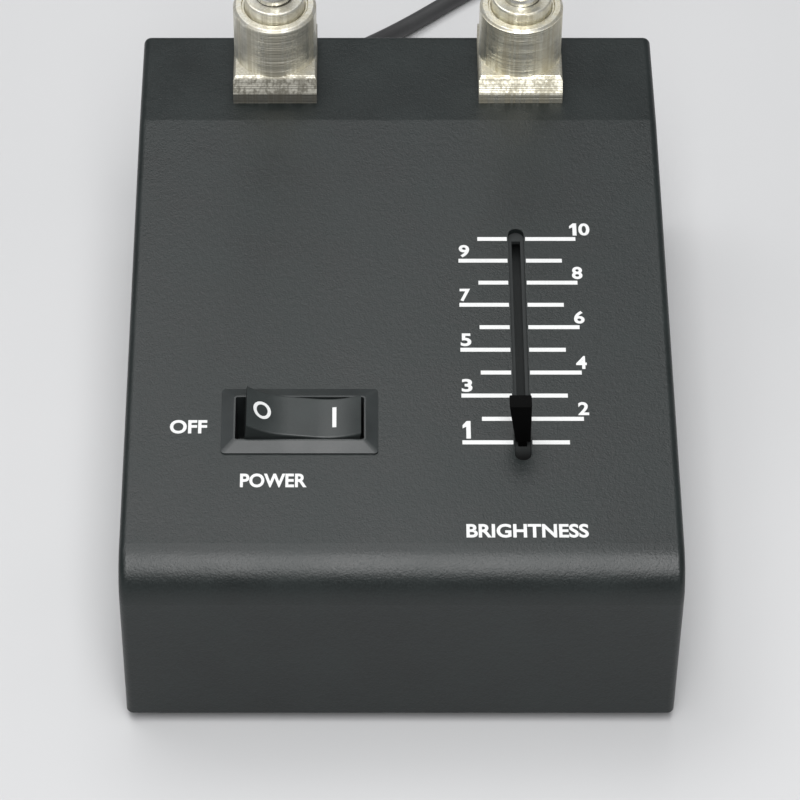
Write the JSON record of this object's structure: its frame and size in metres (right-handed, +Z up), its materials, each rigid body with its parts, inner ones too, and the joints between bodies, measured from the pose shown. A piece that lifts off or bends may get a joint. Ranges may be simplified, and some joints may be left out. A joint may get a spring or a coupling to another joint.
{
  "type": "fiber optic illuminator",
  "caption": "Sloping black control box with a rocker switch, a brightness slider and two flexible metal light arms on its rear strip.",
  "frame": {"origin": "centre of the case's footprint, on the surface that the feet stand on", "axes": "+X to the user's right along the front, +Y from the front to the rear, +Z up"},
  "size_m": [0.3104, 0.3154, 0.2662],
  "materials": {
    "powder_coat": "fine textured black powder coat",
    "base_steel": "black powder coat on the base plate",
    "zinc_screws": "zinc plate",
    "feet_rubber": "moulded rubber",
    "switch_black": "satin moulded plastic",
    "rocker_black": "satin moulded plastic with a white mark",
    "terminal_metal": "tinned brass",
    "control_steel": "black dip on sheet steel",
    "knob_black": "moulded plastic",
    "carriage_plastic": "black acetal",
    "board_green": "solder-masked glass fibre",
    "core_steel": "varnished laminations",
    "can_blue": "shrink sleeve",
    "black_epoxy": "moulded epoxy",
    "sink_aluminium": "extruded aluminium",
    "block_green": "moulded plastic",
    "nickel": "bright nickel plate, brushed along the barrel",
    "neck_metal": "satin nickel on wound steel",
    "head_aluminium": "satin anodised aluminium",
    "lens_glass": "clear moulded lens",
    "light_board": "white board with a yellow light chip",
    "cord_black": "flexible black sheath",
    "plug_black": "moulded flexible plastic",
    "pin_nickel": "nickel-plated brass",
    "lead_wire": "coloured plastic insulation"
  },
  "bodies": {
    "case": {"cover": "powder_coat", "base_plate": "base_steel", "cover_screws": "zinc_screws", "rubber_feet": "feet_rubber", "foot_screws": "zinc_screws", "switch_housing": "switch_black", "switch_terminals": "terminal_metal", "control_case": "control_steel", "control_nuts": "zinc_screws", "control_terminals": "terminal_metal", "driver_board": "board_green", "board_spacers": "terminal_metal", "board_screws": "zinc_screws", "transformer": "core_steel", "capacitors": "can_blue", "heat_sink": "sink_aluminium", "transistors": "black_epoxy", "terminal_block": "block_green", "strain_relief": "cord_black", "cord_inside": "cord_black", "power_cord": "cord_black", "power_cord_coil": "cord_black", "power_plug": "plug_black", "plug_pins": "pin_nickel", "left_arm_base": "nickel", "left_arm_lock_nut": "nickel", "left_arm_back_nut": "zinc_screws", "left_neck_root": "neck_metal", "right_arm_base": "nickel", "right_arm_lock_nut": "nickel", "right_arm_back_nut": "zinc_screws", "right_neck_root": "neck_metal", "switch_leads": "lead_wire", "control_leads": "lead_wire", "mains_leads": "lead_wire", "arm_leads": "lead_wire"},
    "switch_rocker": {"switch_rocker": "rocker_black"},
    "brightness_slider": {"slider_knob": "knob_black", "slider_carriage": "carriage_plastic"},
    "left_lower_neck": {"left_neck_lower": "neck_metal"},
    "left_upper_neck": {"left_neck_upper": "neck_metal", "left_head_shell": "head_aluminium", "left_head_ring": "nickel", "left_head_lens": "lens_glass", "left_head_light": "light_board"},
    "right_lower_neck": {"right_neck_lower": "neck_metal"},
    "right_upper_neck": {"right_neck_upper": "neck_metal", "right_head_shell": "head_aluminium", "right_head_ring": "nickel", "right_head_lens": "lens_glass", "right_head_light": "light_board"}
  },
  "joints": [
    {"name": "rocker_tilt", "type": "hinge", "parent": "case", "child": "switch_rocker", "pos_m": [-0.0201, -0.03503, 0.04506], "axis": [0, 0.9959, 0.0906], "range_deg": [-14, 0]},
    {"name": "brightness_slide", "type": "slide", "parent": "case", "child": "brightness_slider", "axis": [0, 0.9959, 0.0906], "range_m": [0, 0.051]},
    {"name": "left_neck_bend", "type": "hinge", "parent": "case", "child": "left_lower_neck", "pos_m": [-0.0262, 0.06245, 0.08481], "axis": [0.7071, -0.7071, 0], "range_deg": [-10, 35]},
    {"name": "left_head_bend", "type": "hinge", "parent": "left_lower_neck", "child": "left_upper_neck", "pos_m": [-0.04317, 0.04548, 0.22893], "axis": [0.7071, -0.7071, 0], "range_deg": [-35, 35]},
    {"name": "right_neck_bend", "type": "hinge", "parent": "case", "child": "right_lower_neck", "pos_m": [0.0262, 0.06245, 0.08481], "axis": [0.7071, 0.7071, 0], "range_deg": [-10, 35]},
    {"name": "right_head_bend", "type": "hinge", "parent": "right_lower_neck", "child": "right_upper_neck", "pos_m": [0.04317, 0.04548, 0.22893], "axis": [0.7071, 0.7071, 0], "range_deg": [-35, 35]}
  ]
}
